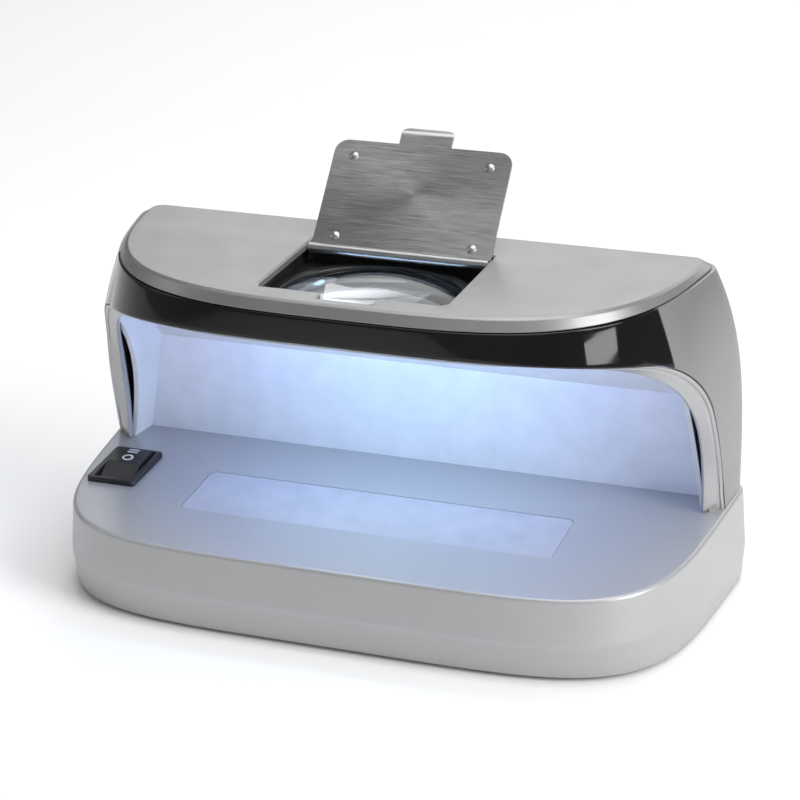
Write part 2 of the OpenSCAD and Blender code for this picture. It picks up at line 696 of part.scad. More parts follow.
base_shell();
bottom_plate();
rubber_feet();
bottom_screws();
tray_diffuser();
tray_led_board();
tray_leds();
switch_housing();
switch_rocker();
switch_marks();
switch_terminals();
light_chamber();
front_frame();
fascia_band();
rear_cover();
head_screws();
top_cover();
lens_bezel();
bezel_screws();
magnifier_lens();
lens_ring();
lens_lid();
lid_hinge_pin();
uv_board_left();
uv_board_right();
uv_leds();
uv_windows();
control_board();
board_screws();
driver_inductor();
capacitors();
driver_chip();
wire_sockets();
dc_jack();
dc_jack_pin();
jack_nut();
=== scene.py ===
import bmesh
import bpy
import json
from collections import namedtuple
from math import acos, asin, atan2, cos, degrees, hypot, pi, radians, sin, sqrt, tan
from mathutils import Matrix, Vector

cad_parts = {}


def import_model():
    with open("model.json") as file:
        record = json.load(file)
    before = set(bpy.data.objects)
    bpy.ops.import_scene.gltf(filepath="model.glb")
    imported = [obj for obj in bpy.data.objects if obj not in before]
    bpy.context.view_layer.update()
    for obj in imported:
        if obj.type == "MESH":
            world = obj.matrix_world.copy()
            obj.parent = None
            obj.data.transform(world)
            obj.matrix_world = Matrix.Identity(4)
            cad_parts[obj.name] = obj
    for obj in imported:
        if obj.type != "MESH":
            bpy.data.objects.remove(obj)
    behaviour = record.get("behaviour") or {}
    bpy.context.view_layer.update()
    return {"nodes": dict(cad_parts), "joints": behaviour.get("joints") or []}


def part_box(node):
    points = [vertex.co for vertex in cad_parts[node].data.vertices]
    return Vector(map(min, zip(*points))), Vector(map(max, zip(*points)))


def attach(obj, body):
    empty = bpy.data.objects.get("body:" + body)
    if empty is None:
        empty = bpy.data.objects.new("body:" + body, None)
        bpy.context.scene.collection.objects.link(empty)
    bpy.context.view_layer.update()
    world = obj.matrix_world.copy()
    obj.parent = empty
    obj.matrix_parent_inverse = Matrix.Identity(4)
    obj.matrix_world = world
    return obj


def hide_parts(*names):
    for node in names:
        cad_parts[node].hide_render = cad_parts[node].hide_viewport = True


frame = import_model()

# Lengths below are in millimetres, as in the CAD part, and become metres where a mesh is made.
MM = 0.001


def box_mm(node):
    low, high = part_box(node)
    return low / MM, high / MM


def joint_mm(name):
    joint = next(j for j in frame["joints"] if j["name"] == name)
    return Vector(joint["pos_m"]) / MM


# ---- Driving sizes, taken from the frame ----
base_low, base_high = box_mm("base_shell")
cover_high = box_mm("rear_cover")[1]
top_low, top_high = box_mm("top_cover")
lens_low, lens_high = box_mm("magnifier_lens")
ring_low, ring_high = box_mm("lens_ring")
HINGE = joint_mm("lid_hinge")
GAP = 0.15

# An outline seen from above: its widest line lies at wide_y, and it reaches forward as a
# superellipse of the given power that narrows by taper millimetres for each millimetre.
Outline = namedtuple("Outline", "half_w taper reach power wide_y rear_y corner_r")
CREASE = Outline(base_high.x, 0.085, 36 - base_low.y, 5, 36, base_high.y, 6)
FOOT = Outline(base_high.x - 0.6, 0.085, 77, 5, 35.6, base_high.y - 0.2, 6)
TRAY = Outline(base_high.x - 1.2, 0.085, 77, 5.3, 35.6, base_high.y - 0.4, 6)
HOOD_LOW = Outline(cover_high.x, 0.10, 75, 3.8, 35.5, cover_high.y, 5)
HOOD_HIGH = Outline(cover_high.x - 8.4, 0.17, 64.4, 3.3, 31.7, cover_high.y - 4, 5)
RIM = Outline(top_high.x, 0.17, 31.4 - top_low.y, 3.3, 31.4, top_high.y, 4.5)
TOP = Outline(top_high.x - 3.1, 0.13, 61.6, 3.1, 31.2, top_high.y - 2, 3)

TRAY_Z = 26.3
TRAY_SLOPE = radians(3.19)
TOP_Z = top_high.z
CREASE_Z = 11.3
BASE_WALL = 2.2
DECK_T = 2.2
COVER_WALL = 2
BAND_WALL = 1.6
BAND_END_Y = 0
# The hood's seam in side view: two straight lines joined by a round corner
PILLAR_FOOT = Vector((24, 28.3))
VISOR_FRONT = Vector((-33.9, 86))
PILLAR_LEAN = radians(15.6)
VISOR_SLOPE = radians(12.2)
ARCH_R = 16
# The frame's inner edge in side view: an oval
LIP_CENTRE = Vector((-35, 27))
LIP_REACH = Vector((53.7, 51.5))
LIP_POWER = 2.5
LIP_RISE = 0.12
# How late the hood's skin leans in, towards the front and at the rear, and how soon the one gives
# way to the other along the side
FRONT_POWER = 1.5
REAR_POWER = 3.5
TURN_POWER = 1.9
TURN_RATE = 4
# Numbers of steps round a rear corner and along one side
CORNER_STEPS = 8
SIDE_STEPS = 72


def mix(a, b, k):
    return a + (b - a) * k


def tray_z(y):
    return TRAY_Z + y * tan(TRAY_SLOPE)


def hood_top_z(y):
    return 93 + (y + 32.6) * 0.025


# ---- Outlines ----
def shrink(o, d):
    return o._replace(half_w=o.half_w - d, reach=o.reach - d, rear_y=o.rear_y - d,
                      corner_r=max(o.corner_r - d, 0.8))


def side_point(o, angle):
    """A point of the rounded side; angle is 0 at the widest line and 90 at the front."""
    c, s = max(0.0, cos(radians(angle))), sin(radians(angle))
    r = (c ** o.power + s ** o.power) ** (-1 / o.power)
    y = o.wide_y - o.reach * r * s
    return Vector(((o.half_w - o.taper * (o.wide_y - y)) * r * c, y))


def corner_point(o, share):
    angle = pi / 2 * (1 - share)
    r = o.corner_r
    return Vector((o.half_w - r + r * cos(angle), o.rear_y - r + r * sin(angle)))


def mirrored(half):
    """A whole ring from its right half, which ends on the middle line."""
    return half + [Vector((-p.x, *p[1:])) for p in reversed(half[:-1])]


def outline_ring(o):
    half = [corner_point(o, i / CORNER_STEPS) for i in range(CORNER_STEPS + 1)]
    half += [side_point(o, 90 * i / SIDE_STEPS) for i in range(1, SIDE_STEPS + 1)]
    return mirrored(half)


def level(points, z):
    return [Vector((p.x, p.y, z)) for p in points]


def on_tray(points, dz):
    return [Vector((p.x, p.y, tray_z(p.y) + dz)) for p in points]


def on_hood_top(points, dz):
    return [Vector((p.x, p.y, hood_top_z(p.y) + dz)) for p in points]


# ---- The hood's surface; w runs from 0 at the tray to 1 at the top ----
def hood_blend(p, q, w, power):
    k = w ** power
    return Vector((mix(p.x, q.x, k), mix(p.y, q.y, k), mix(tray_z(p.y), hood_top_z(q.y), w)))


def hood_power(angle):
    """How late the skin leans in at a side angle."""
    c, s = max(0.0, cos(radians(angle))), sin(radians(angle))
    forward = (c ** HOOD_LOW.power + s ** HOOD_LOW.power) ** (-1 / HOOD_LOW.power) * s
    turn = degrees(asin(min(1.0, forward ** TURN_POWER))) / 90
    return FRONT_POWER + (REAR_POWER - FRONT_POWER) * max(0.0, 1 - TURN_RATE * turn)


def hood_at(angle, w, d=0.0):
    low, high = side_point(shrink(HOOD_LOW, d), angle), side_point(shrink(HOOD_HIGH, d), angle)
    return hood_blend(low, high, w, hood_power(angle))


def hood_rear(share, w, d):
    low, high = corner_point(shrink(HOOD_LOW, d), share), corner_point(shrink(HOOD_HIGH, d), share)
    return hood_blend(low, high, w, REAR_POWER)


def bisect(test, low, high, steps=26):
    """The place between low and high at which test turns from true to false."""
    for _ in range(steps):
        middle = (low + high) / 2
        low, high = (middle, high) if test(middle) else (low, middle)
    return (low + high) / 2


def in_mouth(p, margin=0.0):
    """How far a point lies inside the hood's mouth, in side view."""
    y, z = p.y, p.z
    a = -((y - PILLAR_FOOT.x) * cos(PILLAR_LEAN) + (z - PILLAR_FOOT.y) * sin(PILLAR_LEAN)) - margin
    b = -((y - VISOR_FRONT.x) * sin(VISOR_SLOPE) + (z - VISOR_FRONT.y) * cos(VISOR_SLOPE)) - margin
    if a < ARCH_R and b < ARCH_R:
        return ARCH_R - hypot(ARCH_R - a, ARCH_R - b)
    return min(a, b)


def seam_w(angle, d, margin):
    return bisect(lambda w: in_mouth(hood_at(angle, w, d), margin) > 0, 0, 1)


def lip_height(y):
    return LIP_CENTRE.y + LIP_RISE * (LIP_CENTRE.x + LIP_REACH.x - y)


def in_lip(p):
    across = max(0, p.y - LIP_CENTRE.x) / LIP_REACH.x
    up = max(0, p.z - lip_height(p.y)) / LIP_REACH.y
    return 1 - across ** LIP_POWER - up ** LIP_POWER


def lip_w(angle, d):
    return bisect(lambda w: in_lip(hood_at(angle, w, d)) > 0, 0, 1)


def foot_angle(o, y):
    s = (o.wide_y - y) / o.reach
    return degrees(atan2(s, (1 - s ** o.power) ** (1 / o.power)))


def angle_at_y(y, w, d):
    """The side angle at which the hood's surface crosses a given Y."""
    return bisect(lambda a: hood_at(a, w, d).y > y, 0, 90)


# ---- Paths and loops ----
def rounded(points, radii, steps=4):
    """A path whose inner corners become arcs of the given radii."""
    path = [points[0]]
    for before, at, after, radius in zip(points, points[1:], points[2:], radii):
        u, v = before - at, after - at
        room = 0.45 * min(u.length, v.length)
        u.normalize()
        v.normalize()
        half = acos(max(-1.0, min(1.0, u.dot(v)))) / 2
        if half > radians(88):
            reach = min(radius, room)
            path += [at + mix(u, v, i / steps) * reach for i in range(steps + 1)]
            continue
        reach = min(radius / tan(half), room)
        r = reach * tan(half)
        centre = at + (u + v).normalized() * (r / sin(half))
        first, last = (at + u * reach - centre), (at + v * reach - centre)
        turn = pi - 2 * half
        for i in range(steps + 1):
            t = i / steps
            path.append(centre + (first * sin((1 - t) * turn) + last * sin(t * turn)) / sin(turn))
    return path + [points[-1]]


def loop(corners, steps=6):
    """A closed loop in the XY plane from corners given as (x, y, radius)."""
    points = [Vector((x, y, 0)) for x, y, r in corners]
    closed = [points[-1]] + points + [points[0]]
    return rounded(closed, [r for x, y, r in corners], steps)[1:-1]


def rectangle(x0, y0, x1, y1, r, steps=6):
    return loop([(x0, y0, r), (x1, y0, r), (x1, y1, r), (x0, y1, r)], steps)


def circle(x, y, r, steps):
    return [Vector((x + r * cos(2 * pi * i / steps), y + r * sin(2 * pi * i / steps), 0))
            for i in range(steps)]


def moved(points, matrix):
    return [matrix @ p for p in points]


def deck_matrix(x, y):
    return Matrix.Translation((x, y, tray_z(y))) @ Matrix.Rotation(TRAY_SLOPE, 4, "X")


SHARP = radians(38)


class Builder:
    """Joins rings of points into one mesh, and makes a finished piece of it."""

    def __init__(self):
        self.bm = bmesh.new()

    def ring(self, points):
        return [self.bm.verts.new(p * MM) for p in points]

    def face(self, *verts):
        self.bm.faces.new(verts)

    def bridge(self, a, b, closed=True):
        for i in range(len(a) if closed else len(a) - 1):
            j = (i + 1) % len(a)
            self.face(a[i], a[j], b[j], b[i])

    def skin(self, rows, closed=True):
        """Joins rows of points; gives back the rows' vertices."""
        made = [self.ring(row) for row in rows]
        for a, b in zip(made, made[1:]):
            self.bridge(a, b, closed)
        return made

    def fill(self, *loops):
        """Fills the flat area inside the first loop and outside the others."""
        edges = []
        for verts in loops:
            for i, v in enumerate(verts):
                pair = (v, verts[(i + 1) % len(verts)])
                edges.append(self.bm.edges.get(pair) or self.bm.edges.new(pair))
        bmesh.ops.triangle_fill(self.bm, use_beauty=True, edges=edges)

    def fan(self, verts, centre):
        tip = self.bm.verts.new(centre * MM)
        for i, v in enumerate(verts):
            self.face(v, verts[(i + 1) % len(verts)], tip)

    def trim(self, place, normal):
        """Cuts off what lies beyond a plane and closes the cut."""
        geometry = self.bm.verts[:] + self.bm.edges[:] + self.bm.faces[:]
        cut = bmesh.ops.bisect_plane(self.bm, geom=geometry, plane_co=place * MM,
                                     plane_no=normal, clear_outer=True)
        edges = [e for e in cut["geom_cut"] if isinstance(e, bmesh.types.BMEdge)]
        bmesh.ops.holes_fill(self.bm, edges=edges, sides=0)

    def piece(self, name, look, body, nodes, bevel=0.0, sheet=0.0, outward=True):
        """Makes the object, which rides on a body and stands for CAD nodes."""
        if outward:
            bmesh.ops.recalc_face_normals(self.bm, faces=self.bm.faces)
        mesh = bpy.data.meshes.new(name)
        self.bm.to_mesh(mesh)
        self.bm.free()
        mesh.shade_smooth()
        mesh.materials.append(look)
        obj = bpy.data.objects.new(name, mesh)
        bpy.context.scene.collection.objects.link(obj)
        if sheet:
            solid = obj.modifiers.new("Sheet", "SOLIDIFY")
            solid.thickness = sheet * MM
            solid.offset = -1
        if bevel:
            edge = obj.modifiers.new("Edges", "BEVEL")
            edge.width = bevel * MM
            edge.segments = 3
            edge.limit_method = "ANGLE"
            edge.angle_limit = SHARP
            edge.harden_normals = False
        if not bevel:
            mesh.set_sharp_from_angle(angle=SHARP)
        normals = obj.modifiers.new("Normals", "WEIGHTED_NORMAL")
        normals.keep_sharp = True
        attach(obj, body)
        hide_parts(*nodes)
        return obj


# ---- Materials ----
class Look:
    """A node material whose colour, roughness and relief come from noise in object space."""

    def __init__(self, name):
        self.material = bpy.data.materials.new(name)
        self.material.use_nodes = True
        self.tree = self.material.node_tree
        self.shader = self.tree.nodes["Principled BSDF"]
        self.place = self.tree.nodes.new("ShaderNodeTexCoord").outputs["Object"]

    def set(self, **values):
        for key, value in values.items():
            self.shader.inputs[key.replace("_", " ")].default_value = value
        return self

    def noise(self, size_mm, stretch=(1, 1, 1), detail=3.0, rough=0.5):
        mapping = self.tree.nodes.new("ShaderNodeMapping")
        mapping.inputs["Scale"].default_value = stretch
        texture = self.tree.nodes.new("ShaderNodeTexNoise")
        texture.inputs["Scale"].default_value = 1 / (size_mm * MM)
        texture.inputs["Detail"].default_value = detail
        texture.inputs["Roughness"].default_value = rough
        self.tree.links.new(self.place, mapping.inputs["Vector"])
        self.tree.links.new(mapping.outputs["Vector"], texture.inputs["Vector"])
        return texture.outputs["Fac"]

    def ramp(self, source, stops):
        """Stops are (place, colour)."""
        ramp = self.tree.nodes.new("ShaderNodeValToRGB")
        bands = ramp.color_ramp.elements
        bands[0].position, bands[0].color = stops[0]
        bands[1].position, bands[1].color = stops[-1]
        for place, colour in stops[1:-1]:
            bands.new(place).color = colour
        self.tree.links.new(source, ramp.inputs["Fac"])
        return ramp.outputs["Color"]

    def colour(self, source, low, high):
        made = self.ramp(source, [(0.3, (*low, 1)), (0.7, (*high, 1))])
        self.tree.links.new(made, self.shader.inputs["Base Color"])
        return self

    def roughness(self, source, low, high):
        scaled = self.tree.nodes.new("ShaderNodeMapRange")
        scaled.inputs["From Min"].default_value = 0.3
        scaled.inputs["From Max"].default_value = 0.7
        scaled.inputs["To Min"].default_value = low
        scaled.inputs["To Max"].default_value = high
        self.tree.links.new(source, scaled.inputs["Value"])
        self.tree.links.new(scaled.outputs["Result"], self.shader.inputs["Roughness"])
        return self

    def relief(self, source, depth_mm, strength=1.0):
        bump = self.tree.nodes.new("ShaderNodeBump")
        bump.inputs["Strength"].default_value = strength
        bump.inputs["Distance"].default_value = depth_mm * MM
        self.tree.links.new(source, bump.inputs["Height"])
        self.tree.links.new(bump.outputs["Normal"], self.shader.inputs["Normal"])
        return self


def grey(value):
    return (value, value, value)


def metal_paint(name, dark, light, metallic, rough):
    """Sprayed paint with fine metal flakes and a slight orange peel."""
    look = Look(name).set(Metallic=metallic, Coat_Weight=0.15, Coat_Roughness=0.25)
    look.colour(look.noise(0.12, detail=2), dark, light)
    look.roughness(look.noise(14), rough - 0.04, rough + 0.04)
    return look.relief(look.noise(0.5, detail=1), 0.006).material


def moulded(name, dark, light, rough, depth=0.02, size=0.6, **more):
    """Moulded plastic or rubber with a fine spark-eroded grain."""
    look = Look(name).set(**more)
    look.colour(look.noise(7), dark, light)
    look.roughness(look.noise(3), rough - 0.05, rough + 0.05)
    return look.relief(look.noise(size, detail=2), depth).material


def gloss_black():
    """Polished black plastic: almost clean, with faint smears and long waves."""
    look = Look("gloss_black").set(Specular_IOR_Level=0.4, Coat_Weight=0.1, Coat_Roughness=0.02)
    look.colour(look.noise(20), grey(0.003), grey(0.006))
    look.roughness(look.noise(18, stretch=(1, 1, 3)), 0.03, 0.09)
    return look.relief(look.noise(26, detail=1), 0.02, 0.35).material


def brushed(name, dark, light, rough, grain):
    """Brushed sheet: long fine scratches along X."""
    look = Look(name).set(Metallic=1.0, Anisotropic=0.45)
    scratches = look.noise(0.35, stretch=grain, detail=4, rough=0.7)
    look.colour(scratches, dark, light)
    look.roughness(scratches, rough - 0.06, rough + 0.08)
    return look.relief(scratches, 0.004).material


def machined(name, dark, light, rough):
    look = Look(name).set(Metallic=1.0)
    look.colour(look.noise(2), dark, light)
    look.roughness(look.noise(0.7), rough - 0.06, rough + 0.08)
    return look.relief(look.noise(0.2, detail=2), 0.004).material


def glowing(name, dark, light, glow, strength, rough):
    look = Look(name).set(Emission_Color=(*glow, 1), Emission_Strength=strength)
    look.colour(look.noise(4), dark, light)
    look.roughness(look.noise(2), rough - 0.05, rough + 0.05)
    return look.relief(look.noise(0.8), 0.01).material


def lens_glass():
    """Clear acrylic with a faint blue tint and the slightest ripple from the mould."""
    look = Look("lens_glass").set(Transmission_Weight=1.0, IOR=1.49, Coat_Weight=0.2)
    look.colour(look.noise(25), (0.86, 0.93, 1.0), (0.93, 0.97, 1.0))
    look.roughness(look.noise(12), 0.0, 0.03)
    return look.relief(look.noise(15, detail=1), 0.01, 0.3).material


LOOKS = {
    "silver_paint": metal_paint("silver_paint", grey(0.40), grey(0.47), 0.45, 0.42),
    "grey_paint": metal_paint("grey_paint", grey(0.24), grey(0.30), 0.6, 0.40),
    "gloss_black": gloss_black(),
    "black_plastic": moulded("black_plastic", grey(0.010), grey(0.018), 0.38),
    "dark_plastic": moulded("dark_plastic", grey(0.035), grey(0.05), 0.55, 0.04, 0.9),
    "white_plastic": moulded("white_plastic", grey(0.66), (0.72, 0.72, 0.73), 0.5),
    "opal_plastic": glowing("opal_plastic", (0.62, 0.62, 0.85), (0.75, 0.74, 0.95),
                            (0.30, 0.30, 1.0), 0.2, 0.4),
    "rubber": moulded("rubber", grey(0.012), grey(0.025), 0.8, 0.06, 0.5),
    "steel": machined("steel", grey(0.5), grey(0.62), 0.3),
    "brushed_sheet": brushed("brushed_sheet", grey(0.36), grey(0.48), 0.34, (0.04, 1, 1)),
    "brass": machined("brass", (0.60, 0.42, 0.16), (0.75, 0.56, 0.24), 0.3),
    "lens_glass": lens_glass(),
    "circuit_board": moulded("circuit_board", (0.01, 0.10, 0.03), (0.02, 0.16, 0.05), 0.4, 0.03, 1.5),
    "led_package": glowing("led_package", (0.75, 0.72, 0.5), (0.9, 0.86, 0.6), (0.6, 0.5, 1.0), 0.6, 0.3),
    "capacitor_sleeve": moulded("capacitor_sleeve", (0.01, 0.015, 0.08), (0.02, 0.03, 0.14), 0.3),
    "white_print": moulded("white_print", grey(0.55), grey(0.7), 0.6),
}
TRAY_OPAL = moulded("tray_opal", (0.38, 0.38, 0.41), (0.43, 0.43, 0.46), 0.45)


def paint_cad_nodes():
    for node in frame["nodes"].values():
        for held in node.material_slots:
            held.material = LOOKS[held.material.name.split(".")[0]]
    frame["nodes"]["tray_diffuser"].material_slots[0].material = TRAY_OPAL


# ---- Base ----
WINDOW = (110, 24)
WINDOW_Y = -6
SWITCH_HOLE = (13.4, 19.4)
SWITCH = Vector((-80.5, 0.4))


def base_shell():
    b = Builder()
    foot_z = base_low.z
    rings = [
        on_tray(outline_ring(shrink(TRAY, BASE_WALL + 0.6)), -DECK_T),
        level(outline_ring(shrink(CREASE, BASE_WALL)), CREASE_Z),
        level(outline_ring(shrink(FOOT, BASE_WALL)), foot_z),
        level(outline_ring(FOOT), foot_z),
        level(outline_ring(CREASE), CREASE_Z),
        on_tray(outline_ring(TRAY), 0),
        on_tray(outline_ring(shrink(TRAY, 3)), 0)]
    radii = [0.3, 0.2, 0.5, 4, 1.3]
    columns = [rounded([ring[i] for ring in rings], radii, 5) for i in range(len(rings[0]))]
    rows = b.skin([list(row) for row in zip(*columns)])
    holes = [
        moved(rectangle(-WINDOW[0] / 2, -WINDOW[1] / 2, WINDOW[0] / 2, WINDOW[1] / 2, 2),
              deck_matrix(0, WINDOW_Y)),
        moved(rectangle(-SWITCH_HOLE[0] / 2, -SWITCH_HOLE[1] / 2, SWITCH_HOLE[0] / 2,
                        SWITCH_HOLE[1] / 2, 0.5), deck_matrix(*SWITCH))]
    edges = []
    for hole in holes:
        drop = Vector((0, 0, DECK_T))
        edges.append(b.skin([[p - drop for p in hole], hole]))
    b.fill(rows[-1], *[e[1] for e in edges])
    b.fill(rows[0], *[e[0] for e in edges])
    b.piece("base_shell_fine", LOOKS["silver_paint"], "housing", ["base_shell"])


# ---- Hood ----
def cover_limit(w, d, start):
    """The last side angle of the rear cover at this height."""
    def behind(angle):
        p = hood_at(angle, w, d)
        return p.y > start and in_mouth(p) < 0
    return bisect(behind, 0, 80)


def cover_rows(d, start):
    """Rows of the rear cover, from the left edge round the back to the right edge."""
    meets = bisect(lambda w: cover_limit(w, d, -99) < angle_at_y(start, w, d), 0.4, 0.95)
    heights = [0.5 * i / 9 for i in range(9)]
    heights += [mix(0.5, meets, i / 34) for i in range(34)]
    heights += [mix(meets, 1, i / 10) for i in range(11)]
    rows = []
    for w in heights:
        last = cover_limit(w, d, start)
        back = hood_rear(0, w, d)
        half = [hood_at(last * i / 36, w, d) for i in range(36, 0, -1)]
        half += [hood_rear(i / CORNER_STEPS, w, d) for i in range(CORNER_STEPS, -1, -1)]
        half += [Vector((back.x * i / 4, back.y, back.z)) for i in range(3, -1, -1)]
        rows.append(mirrored(half))
    return rows


def shell(b, outer, inner):
    """Joins an outer and an inner sheet of rows along all four edges."""
    out, into = b.skin(outer, closed=False), b.skin(inner, closed=False)
    b.bridge(out[0], into[0], False)
    b.bridge(out[-1], into[-1], False)
    for end in (0, -1):
        b.bridge([row[end] for row in out], [row[end] for row in into], False)


def drill(obj, centre, radius, depth):
    """Cuts a round hole along Y and keeps the result as the object's mesh."""
    b = Builder()
    turn = Matrix.Translation(centre) @ Matrix.Rotation(pi / 2, 4, "X")
    ends = [moved([p + Vector((0, 0, z)) for p in circle(0, 0, radius, 64)], turn)
            for z in (-depth / 2, depth / 2)]
    near, far = b.skin(ends)
    b.face(*near)
    b.face(*reversed(far))
    bmesh.ops.recalc_face_normals(b.bm, faces=b.bm.faces)
    tool_mesh = bpy.data.meshes.new("drill")
    b.bm.to_mesh(tool_mesh)
    b.bm.free()
    tool = bpy.data.objects.new("drill", tool_mesh)
    bpy.context.scene.collection.objects.link(tool)
    cut = obj.modifiers.new("Hole", "BOOLEAN")
    cut.object = tool
    cut.solver = "EXACT"
    others = [m for m in obj.modifiers if m != cut]
    for m in others:
        m.show_viewport = False
    bpy.context.view_layer.update()
    graph = bpy.context.evaluated_depsgraph_get()
    old, obj.data = obj.data, bpy.data.meshes.new_from_object(obj.evaluated_get(graph))
    bpy.data.meshes.remove(old)
    obj.modifiers.remove(cut)
    for m in others:
        m.show_viewport = True
    bpy.data.objects.remove(tool)


def rear_cover():
    b = Builder()
    start = BAND_END_Y + GAP
    shell(b, cover_rows(0, start), cover_rows(COVER_WALL, start))
    cover = b.piece("rear_cover_fine", LOOKS["grey_paint"], "housing",
                    ["rear_cover"], bevel=0.3)
    jack_low, jack_high = box_mm("dc_jack")
    middle = (jack_low + jack_high) / 2
    drill(cover, Vector((middle.x, cover_high.y - 2, middle.z)), 4, 10)


def band_point(s, v, d):
    """A point of the band: s is 0 at its end and 1 at the middle, v is 0 at its lower edge."""
    angle = mix(angle_at_y(BAND_END_Y, 1, d), 90, s)
    for _ in range(8):
        w = mix(seam_w(angle, d, 0), 1, v)
        angle = mix(angle_at_y(BAND_END_Y, w, d), 90, s)
    return hood_at(angle, w, d)


def fascia_band():
    def rows(d):
        return [mirrored([band_point(i / 64, v / 8, d) for i in range(65)]) for v in range(9)]
    b = Builder()
    shell(b, rows(0), rows(BAND_WALL))
    b.piece("fascia_band_fine", LOOKS["gloss_black"], "housing",
            ["fascia_band"], bevel=0.3)


# ---- Frame round the mouth ----
FRAME_T = 2
VISOR_FRAME_T = 0.4
FRAME_EDGE_T = 2.3
FRAME_RETURN_W = 1.9
VISOR_INSET = 1.4
PILLAR_INSET = 4.4
FRAME_STEPS = 70


def lip_inset(angle):
    return VISOR_INSET + PILLAR_INSET * max(0.0, 1 - angle / 60) ** 0.7


def lip_normal(p):
    across = (max(0, p.y - LIP_CENTRE.x) / LIP_REACH.x) ** (LIP_POWER - 1)
    up = (max(0, p.z - LIP_CENTRE.y) / LIP_REACH.y) ** (LIP_POWER - 1)
    return Vector((0, across, up)).normalized()


def frame_section(f):
    """The frame's rounded section at f, from 0 at its foot to 1 at the middle of the visor."""
    a = mix(foot_angle(HOOD_LOW, PILLAR_FOOT.x - GAP), 90, f)
    c = mix(foot_angle(HOOD_LOW, LIP_CENTRE.x + LIP_REACH.x + 0.5), 90, f)
    d = lip_inset(c)
    w = max(0.003, lip_w(c, d))
    edge = hood_at(a, max(0.003, seam_w(a, 0, GAP)), 0)
    inner_edge = hood_at(a, max(0.003, seam_w(a, FRAME_EDGE_T, GAP)), FRAME_EDGE_T)
    lip = hood_at(c, w, d)
    u = lip_normal(lip)
    depth = mix(VISOR_FRAME_T, FRAME_T, u.y) * u
    back = hood_at(c, w, d + 0.5) + depth
    outer = hood_at(c, w, max(0, d - FRAME_RETURN_W)) + depth
    heel = mix(mix(inner_edge, back, 0.5), outer, u.y)
    across = lip - edge
    inward = inner_edge - edge
    inward -= across.normalized() * inward.dot(across.normalized())
    inward.normalize()
    strip = mix(0.34, 0.17, u.y)
    groove = mix(0.30, 0.45, u.y)
    corners = [
        inner_edge, edge, edge + across * strip,
        edge + across * (strip + 0.03) + inward * groove,
        edge + across * (strip + 0.10) + inward * groove,
        edge + across * (strip + 0.16), lip, back, heel]
    return rounded(corners, [0.3, 0.2, 0.15, 0.15, 0.3, mix(0.45, 1.1, u.y), 0.2], 4)


def front_frame():
    sections = [frame_section((i / FRAME_STEPS) ** 2) for i in range(FRAME_STEPS + 1)]
    sunk = [p - Vector((0, 0, 1)) for p in sections[0]]
    half = [sunk] + sections
    for p in half[-1]:
        p.x = 0
    rows = half + [[Vector((-p.x, p.y, p.z)) for p in row] for row in reversed(half[:-1])]
    b = Builder()
    made = b.skin(rows)
    b.face(*made[0])
    b.face(*reversed(made[-1]))
    b.piece("front_frame_fine", LOOKS["silver_paint"], "housing", ["front_frame"])


# ---- Top cover ----
COVER_T = 2
NOTCH_HALF_W = 8
NOTCH_FRONT = -27.2
OPENING_HALF_W = 27
OPENING_FRONT = -22.5
OPENING_REAR = HINGE.y + 3.9


def opening(grow):
    """The lens opening with its finger notch, grown all round."""
    side, front, rear = OPENING_HALF_W + grow, OPENING_FRONT - grow, OPENING_REAR + grow
    notch, tip = NOTCH_HALF_W + grow, NOTCH_FRONT - grow
    return loop([(side, front, 3), (side, rear, 0.4), (-side, rear, 0.4), (-side, front, 3),
                 (-notch, front, 0.6), (-notch, tip, 1.5), (notch, tip, 1.5), (notch, front, 0.6)])


def top_cover():
    b = Builder()
    chamfer = 0.5
    rings = [
        level(outline_ring(shrink(TOP, 0.9)), TOP_Z - COVER_T),
        on_hood_top(outline_ring(shrink(RIM, 1.8)), GAP),
        on_hood_top(outline_ring(RIM), GAP),
        level(outline_ring(shrink(TOP, -0.9)), TOP_Z - 0.6),
        level(outline_ring(TOP), TOP_Z),
        level(outline_ring(shrink(TOP, 2)), TOP_Z)]
    columns = [rounded([ring[i] for ring in rings], [0.2, 0.3, 0.9, 0.6], 4)
               for i in range(len(rings[0]))]
    rows = b.skin([list(row) for row in zip(*columns)])
    hole = b.skin([
        level(opening(0), TOP_Z - COVER_T),
        level(opening(0), TOP_Z - chamfer),
        level(opening(chamfer), TOP_Z)])
    b.fill(rows[-1], hole[-1])
    b.fill(rows[0], hole[0])
    b.piece("top_cover_fine", LOOKS["grey_paint"], "housing", ["top_cover"])


# ---- Lens ----
LENS_Y = (lens_high.y - lens_high.x)
LENS_R = lens_high.x
RIM_R = 25.4
RIM_Z = 90.2
LENS_CHAMFER = 0.3


def turned(b, profile, steps=128):
    """Turns a profile of (radius, z) round the lens's axis."""
    return b.skin([level(circle(0, LENS_Y, r, steps), z) for r, z in profile])


